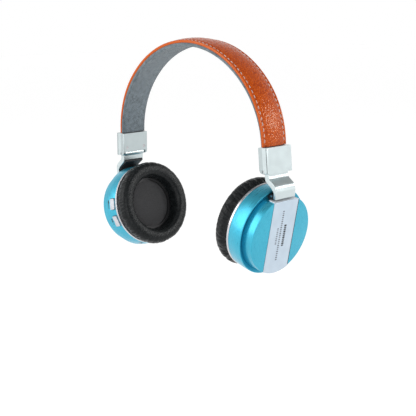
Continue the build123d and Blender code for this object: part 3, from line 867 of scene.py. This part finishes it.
def build_marks(side, matrix):
    """Generic printed bars where the plate carries its print: no lettering."""
    # each row: its place across the plate, its length, then the bars' width, lengths, gap and look
    rows = [
        (3.2, 17.0, 2.5, (1.5, 0.9, 1.2), 0.45, "print_dark"),
        (-1.3, 41.0, 1.8, (0.9, 0.6, 1.1), 0.8, "print_grey"),
        (-4.8, 13.5, 1.8, (0.9, 0.6), 0.8, "print_grey"),
    ]
    for row, (x, length, width, pattern, gap, look) in enumerate(rows):
        y = length / 2
        step = 0
        pieces = []
        while y > -length / 2:
            size = pattern[step % len(pattern)]
            pieces.append(mark(
                f"{side}_mark_{row}_{step}", x * OUTWARD[side], y - size / 2, width, size,
                look, side, matrix))
            y -= size + gap
            step += 1
        join_pieces(pieces, f"{side}_print_{row}")


def join_pieces(pieces, name):
    """Makes one object of several that share a body and a place."""
    mesh = bmesh.new()
    for piece in pieces:
        mesh.from_mesh(piece.data)
    mesh.to_mesh(pieces[0].data)
    mesh.free()
    pieces[0].name = name
    for piece in pieces[1:]:
        bpy.data.objects.remove(piece)


def build_housing(side, matrix):
    """The brushed shell, with the keys' windows on the left one."""
    inner = HOUSING_BACK_RADIUS - HOUSING_WALL
    front = DISC_SEAT + HOUSING_FRONT_WALL
    profile = rounded(
        [(DISH_RADIUS, DISC_SEAT), (RIM_RADIUS - 0.5, RIM_DEPTH), (RIM_RADIUS, RIM_DEPTH + 0.45),
         (RIM_RADIUS - 0.05, 14.0), (HOUSING_BACK_RADIUS, HOUSING_BACK), (inner, HOUSING_BACK),
         (inner, front), (0, front), (0, DISC_SEAT)],
        [0.2, 0.25, 0.35, 12.0, 0.35, 0.2, 0.4, 0, 0], 5)
    shell = lathe(f"{side}_shell", profile, matrix, RIM_SEGMENTS)
    if side == "left":
        for angle in (PLAY_ANGLE, ROCKER_ANGLE):
            cut(shell, rim_block(
                "cutter", angle, matrix, KEY_LENGTH + KEY_CLEARANCE, KEY_WIDTH + KEY_CLEARANCE,
                *WINDOW_REACH, WINDOW_CORNER))
    dress(shell, f"{side}_cup", "teal_shell")
    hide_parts(f"{side}_cup_housing")


def rim_block(name, angle, matrix, length, width, low, high, corner, depth=CONTROL_DEPTH):
    """A rounded block along the left cup's rearward radius, turned down by an angle."""
    half, wide = length / 2, width / 2
    outline = rounded(
        [(-half, -wide), (half, -wide), (half, wide), (-half, wide)], [corner] * 4, 5)
    # outline x runs round the rim and outline y along the cup's axis; the left cup's X is rearward
    turn = Matrix.Rotation(-angle, 4, "Z")
    lay = Matrix(((0, 0, 1, 0), (1, 0, 0, 0), (0, 1, 0, -depth * MM), (0, 0, 0, 1)))
    return prism(name, outline, low, high, matrix @ turn @ lay)


def build_keys(matrix):
    """The two silver keys, and small printed signs beside them."""
    for name, angle, body in (
        ("play_key", PLAY_ANGLE, "play_button"), ("rocker_key", ROCKER_ANGLE, "volume_rocker"),
    ):
        key = rim_block(
            name, angle, matrix, KEY_LENGTH, KEY_WIDTH, KEY_BOTTOM, KEY_CROWN, KEY_CORNER)
        if body == "volume_rocker":
            # its crown dips across the middle, between the two ends that are pressed
            cut(key, rim_block(
                "saddle", angle, matrix, SADDLE_LENGTH, KEY_WIDTH + 2,
                KEY_CROWN - SADDLE_DIP, KEY_CROWN + 1, SADDLE_CORNER))
        bevel_edges(key, KEY_EDGE)
        dress(key, body, "silver_keys")
        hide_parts(f"left_{body}")
    for number, (degrees, length, width) in enumerate(KEY_SIGNS):
        sign = rim_block(
            f"key_sign_{number}", math.radians(degrees), matrix, length, width,
            RIM_RADIUS - 0.2, RIM_RADIUS + 0.02, 0.12, SIGN_DEPTH)
        dress(sign, "left_cup", "print_dark")


def build_trim(side, matrix):
    """The thin silver ring behind the shell."""
    profile = rounded(
        [(TRIM_BORE, HOUSING_BACK), (TRIM_RADIUS, HOUSING_BACK),
         (TRIM_RADIUS, TRIM_BACK), (TRIM_BORE, TRIM_BACK)],
        [0.1, 0.3, 0.3, 0.1], 4)
    ring = lathe(f"{side}_trim", profile, matrix, RIM_SEGMENTS)
    dress(ring, f"{side}_cup", "trim_silver")
    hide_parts(f"{side}_trim_ring")


def cushion_outline():
    """The cushion's section as (radius, depth), drawn in from its CAD outline."""
    outer, inner = CUSHION_RADIUS - CUSHION_SHRINK, CUSHION_OPENING + CUSHION_SHRINK
    middle = (CUSHION_RADIUS + CUSHION_OPENING) / 2
    face = CUSHION_FACE_DEPTH - CUSHION_SHRINK
    corners = [
        (BAFFLE_RADIUS - 0.3, CUSHION_SKIRT_DEPTH), (CUSHION_SKIRT_RADIUS, CUSHION_SKIRT_DEPTH),
        (outer, CUSHION_WAIST_DEPTH - 4), (outer, CUSHION_WAIST_DEPTH),
        (middle + 5, face), (middle - 5, face),
        (inner, CUSHION_WAIST_DEPTH), (inner, RING_BACK + 0.1),
        (BAFFLE_RADIUS - 0.3, RING_BACK + 0.1),
    ]
    return rounded(corners, [0, 0.2, 3.0, 3.0, 4.0, 4.0, 3.0, 0.4, 0], 4)


def simulate_cushion(piece):
    """Fills an enlarged cushion with pressure, so that its skin swells and wrinkles."""
    piece.scale = [SIM_SCALE] * 3
    bpy.context.view_layer.update()
    piece.data.transform(piece.matrix_world)
    piece.matrix_world = Matrix.Identity(4)
    remesh = piece.modifiers.new("remesh", "REMESH")
    remesh.mode = "VOXEL"
    remesh.voxel_size = SIM_VOXEL
    apply_modifiers(piece)
    start = np.array([v.co for v in piece.data.vertices])
    held = piece.vertex_groups.new(name="held")
    depth = -start[:, 2] / SIM_SCALE / MM
    for i, d in enumerate(depth):
        held.add([i], float(np.clip((RING_BACK + SIM_HOLD - d) / SIM_HOLD, 0, 1)), "REPLACE")
    cloth = piece.modifiers.new("cloth", "CLOTH")
    settings = cloth.settings
    settings.use_pressure = True
    settings.uniform_pressure_force = 4.0
    settings.shrink_min = -0.10
    settings.quality = 6
    settings.mass = 0.25
    settings.tension_stiffness = 12
    settings.compression_stiffness = 12
    settings.bending_stiffness = 0.6
    settings.effector_weights.gravity = 0
    settings.vertex_group_mass = "held"
    cloth.collision_settings.use_self_collision = False
    cloth.point_cache.frame_start = 1
    cloth.point_cache.frame_end = SIM_FRAMES
    scene = bpy.context.scene
    for number in range(1, SIM_FRAMES + 1):
        scene.frame_set(number)
    graph = bpy.context.evaluated_depsgraph_get()
    shape = piece.evaluated_get(graph).to_mesh()
    end = np.array([v.co for v in shape.vertices])
    piece.modifiers.clear()
    scene.frame_set(1)
    move = end - start
    size = np.linalg.norm(move, axis=1)
    limit = SIM_LIMIT * MM
    share = np.where(size > limit, limit / np.maximum(size, 1e-9), 1.0)
    final = (start + move * share[:, None]) / SIM_SCALE
    piece.data.vertices.foreach_set("co", final.astype(np.float32).ravel())
    piece.data.update()


def pleat(piece):
    """Gathers the cushion's skin into small uneven pleats where it turns in to the ring."""
    mesh = piece.data
    count = len(mesh.vertices)
    places = np.array([v.co for v in mesh.vertices]) / MM
    normals = np.array([v.normal for v in mesh.vertices])
    angle = np.arctan2(places[:, 1], places[:, 0])
    radius = np.hypot(places[:, 0], places[:, 1])
    depth = -places[:, 2]
    outer = np.interp(radius, PLEAT_OUTER_RADII, (0, 1))
    inner = np.interp(radius, PLEAT_INNER_RADII, (0.5, 0))
    fade = np.exp(-((depth - PLEAT_MIDDLE) / PLEAT_REACH) ** 2)
    fade *= np.interp(depth, PLEAT_START_DEPTHS, (0, 1))
    draw = random.Random(PLEAT_SEED)
    ripple = np.zeros(count)
    for _ in range(PLEAT_COUNT):
        centre = draw.uniform(-math.pi, math.pi)
        width = draw.uniform(0.014, 0.030)
        height = draw.uniform(0.45, 1.15)
        lean = draw.uniform(-0.015, 0.015)
        offset = np.angle(np.exp(1j * (angle - centre - lean * (depth - PLEAT_MIDDLE))))
        ripple -= height * np.exp(-(offset / width) ** 2)
    ripple = PLEAT_DEPTH * (np.exp(ripple / PLEAT_DEPTH) - 1)
    ripple *= np.maximum(outer, inner) * fade
    places += normals * ripple[:, None]
    mesh.vertices.foreach_set("co", (places * MM).astype(np.float32).ravel())
    mesh.update()


def cushion_mesh():
    """The cushion's skin, filled, wrinkled and pleated."""
    model = lathe("cushion_model", cushion_outline(), None)
    simulate_cushion(model)
    smooth = model.modifiers.new("smooth", "SUBSURF")
    smooth.levels = 2
    smooth.render_levels = 2
    apply_modifiers(model)
    pleat(model)
    mesh = model.data
    mesh.shade_smooth()
    bpy.data.objects.remove(model)
    return mesh


def build_cushion(side, matrix, mesh):
    """One black cushion from the skin that both share."""
    cushion = bpy.data.objects.new(f"{side}_cushion_skin", mesh.copy())
    bpy.context.scene.collection.objects.link(cushion)
    cushion.matrix_world = matrix
    dress(cushion, f"{side}_cup", "black_leatherette")
    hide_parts(f"{side}_ear_cushion")


# end boxes and arms


def pin_matrix(side):
    """The fold pin's place on one side."""
    return Matrix.Translation((OUTWARD[side] * fold_pin.x * MM, 0, fold_pin.z * MM))


def build_groove_shade(side):
    """A dark strip in the groove round the end box, between its outer face and its body: painted shade in the
    groove.
    """
    sign = OUTWARD[side]
    lean = Matrix.Rotation(-sign * LEAN, 4, "Y")
    low, high = BOX_BOTTOM + GROOVE_SHADE_INSET, BOX_TOP - GROOVE_SHADE_INSET
    half = BOX_HALF_WIDTH - GROOVE_SHADE_INSET
    rings = []
    for grow in (0.0, GROOVE_SHADE_THICKNESS):
        h, a, b = half + grow, low - grow, high + grow
        rings.append(rounded([(-h, a), (h, a), (h, b), (-h, b)], [GROOVE_SHADE_CORNER] * 4, 3))
    count = len(rings[0])
    near = sign * (BOX_OUTER - GROOVE_SHADE_FROM_FACE)
    far = near - sign * GROOVE_SHADE_WIDTH
    points = [(x, y, z) for ring in rings for x in (near, far) for y, z in ring]
    faces = []
    for i in range(count):
        j = (i + 1) % count
        for one, two in ((0, 1), (1, 3), (3, 2), (2, 0)):
            faces.append((one * count + i, one * count + j, two * count + j, two * count + i))
    # a black strip standing in for the groove's shade
    seam = to_object(f"{side}_box_groove_shade", points, faces, pin_matrix(side) @ lean, smooth=False)
    dress(seam, f"{side}_slider", "black_plastic")


def build_arm(side):
    """The bent silver arm, its bends smooth, with the folding hinge's barrel at its top."""
    sign = OUTWARD[side]
    place = pin_matrix(side) @ Matrix(((sign, 0, 0), (0, 0, -sign), (0, 1, 0))).to_4x4()
    outline = rounded(ARM_CORNERS, ARM_BENDS, 12)
    arm = prism(f"{side}_arm_plate", outline, -ARM_HALF_WIDTH, ARM_HALF_WIDTH, place, smooth=True)
    bevel_edges(arm, ARM_EDGE, segments=4, harden=False)
    arm.modifiers.new("normals", "WEIGHTED_NORMAL")
    barrel = lathe(
        f"{side}_arm_barrel",
        [(PIN_BORE, -ARM_HALF_WIDTH), (BARREL_RADIUS, -ARM_HALF_WIDTH),
         (BARREL_RADIUS, ARM_HALF_WIDTH), (PIN_BORE, ARM_HALF_WIDTH)], place, 64)
    bevel_edges(barrel, BARREL_EDGE)
    for piece in (arm, barrel):
        dress(piece, f"{side}_arm", "satin_silver")
    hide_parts(f"{side}_arm")


# CAD nodes that stay


def finish_cad_nodes():
    """Gives every CAD node its slot's look, the end box's inner cap a darker copy of its silver as painted shade,
    and rounds the edges of some that are seen.
    """
    slots = {part["node"]: part["material_slot"] for part in frame["record"]["subparts"]}
    for name, node in nodes.items():
        look = "inner_silver_shaded" if name.endswith("end_cap_inner") else slots[name]
        node.data.materials.clear()
        node.data.materials.append(looks[look])
    for side in SIDES:
        for part, width in CAD_EDGES.items():
            node = nodes[f"{side}_{part}"]
            weld = node.modifiers.new("weld", "WELD")
            weld.merge_threshold = WELD_DISTANCE * MM
            bevel_edges(node, width)


build_leather()
build_stitching()
for side in SIDES:
    build_groove_shade(side)
    build_arm(side)
build_pad()
finish_cad_nodes()
skin = cushion_mesh()
for side in SIDES:
    place = cup_matrix(side)
    build_disc(side, place)
    build_plate(side, place)
    build_marks(side, place)
    build_housing(side, place)
    build_trim(side, place)
    build_cushion(side, place, skin)
build_keys(cup_matrix("left"))


# camera, light and floor

CAMERA_PLACE = Vector((0.54769, -0.49904, 0.01395))
CAMERA_AZIMUTH = math.radians(47.12)
CAMERA_DOWN = math.radians(11.19)
CAMERA_ROLL = math.radians(-1.63)
CAMERA_LENS = 78.69
FLOOR_Z = -0.245
FLOOR_HALF_SIZE = 9000
FLOOR_GREY = 0.30
FLOOR_GLOW = 0.79
LIGHT_TARGET = (0, 0, -0.09)
# (height, grey) of the surround; heights are the sine of the elevation
WORLD_STOPS = [(0.0, 1.0), (0.40, 1.0), (0.62, 0.42), (1.0, 0.30)]


def add_camera():
    """The photo's camera: its place, its direction, and a slight roll about it."""
    aim = Vector((-math.sin(CAMERA_AZIMUTH) * math.cos(CAMERA_DOWN),
                  math.cos(CAMERA_AZIMUTH) * math.cos(CAMERA_DOWN), -math.sin(CAMERA_DOWN)))
    right = Vector((math.cos(CAMERA_AZIMUTH), math.sin(CAMERA_AZIMUTH), 0))
    up = right.cross(aim)
    tilted_right = right * math.cos(CAMERA_ROLL) + up * math.sin(CAMERA_ROLL)
    tilted_up = up * math.cos(CAMERA_ROLL) - right * math.sin(CAMERA_ROLL)
    data = bpy.data.cameras.new("camera")
    data.lens = CAMERA_LENS
    data.sensor_width = 36.0
    camera = bpy.data.objects.new("camera", data)
    camera.matrix_world = Matrix.Translation(CAMERA_PLACE) @ Matrix(
        (tilted_right, tilted_up, -aim)).transposed().to_4x4()
    bpy.context.scene.collection.objects.link(camera)
    bpy.context.scene.camera = camera


def add_light(name, place, size, power):
    """A white rectangular light, its size in metres and its power in watts, facing the object."""
    data = bpy.data.lights.new(name, "AREA")
    data.shape = "RECTANGLE"
    data.size, data.size_y = size
    data.energy = power
    light = bpy.data.objects.new(name, data)
    light.location = place
    facing = Vector(LIGHT_TARGET) - Vector(place)
    light.rotation_euler = facing.to_track_quat("-Z", "Y").to_euler()
    bpy.context.scene.collection.objects.link(light)


def add_world():
    """A pale surround: white round the horizon and below, grey overhead."""
    world = bpy.data.worlds.new("studio")
    world.use_nodes = True
    tree = world.node_tree
    where = tree.nodes.new("ShaderNodeTexCoord")
    split = tree.nodes.new("ShaderNodeSeparateXYZ")
    ramp = tree.nodes.new("ShaderNodeValToRGB")
    for _ in range(len(WORLD_STOPS) - 2):
        ramp.color_ramp.elements.new(0.5)
    for element, (height, grey) in zip(ramp.color_ramp.elements, WORLD_STOPS):
        element.position = height
        element.color = (grey, grey, grey, 1)
    tree.links.new(where.outputs["Generated"], split.inputs["Vector"])
    tree.links.new(split.outputs["Z"], ramp.inputs["Fac"])
    tree.links.new(ramp.outputs["Color"], tree.nodes["Background"].inputs["Color"])
    bpy.context.scene.world = world


def add_floor():
    """A wide pale floor at the height of the stand's foot."""
    half = FLOOR_HALF_SIZE
    floor = prism("floor", [(-half, -half), (half, -half), (half, half), (-half, half)], -2.0, 0.0)
    floor.location.z = FLOOR_Z
    material, shader = new_material("floor_white", [FLOOR_GREY] * 3, 0.9)
    shader.inputs["Emission Color"].default_value = (1, 1, 1, 1)
    shader.inputs["Emission Strength"].default_value = FLOOR_GLOW
    floor.data.materials.append(material)


add_camera()
add_world()
add_floor()
add_light("left_box", (-0.62, -0.97, 0.48), (0.8, 1.1), 6.4)
add_light("front_box", (0.95, -0.95, 0.05), (0.5, 0.5), 2.5)
add_light("right_box", (1.0, 0.9, 0.30), (0.34, 0.30), 3.8)
add_light("top_box", (0.25, -0.25, 1.1), (0.5, 0.5), 1.5)
bpy.context.scene.view_settings.view_transform = "Standard"
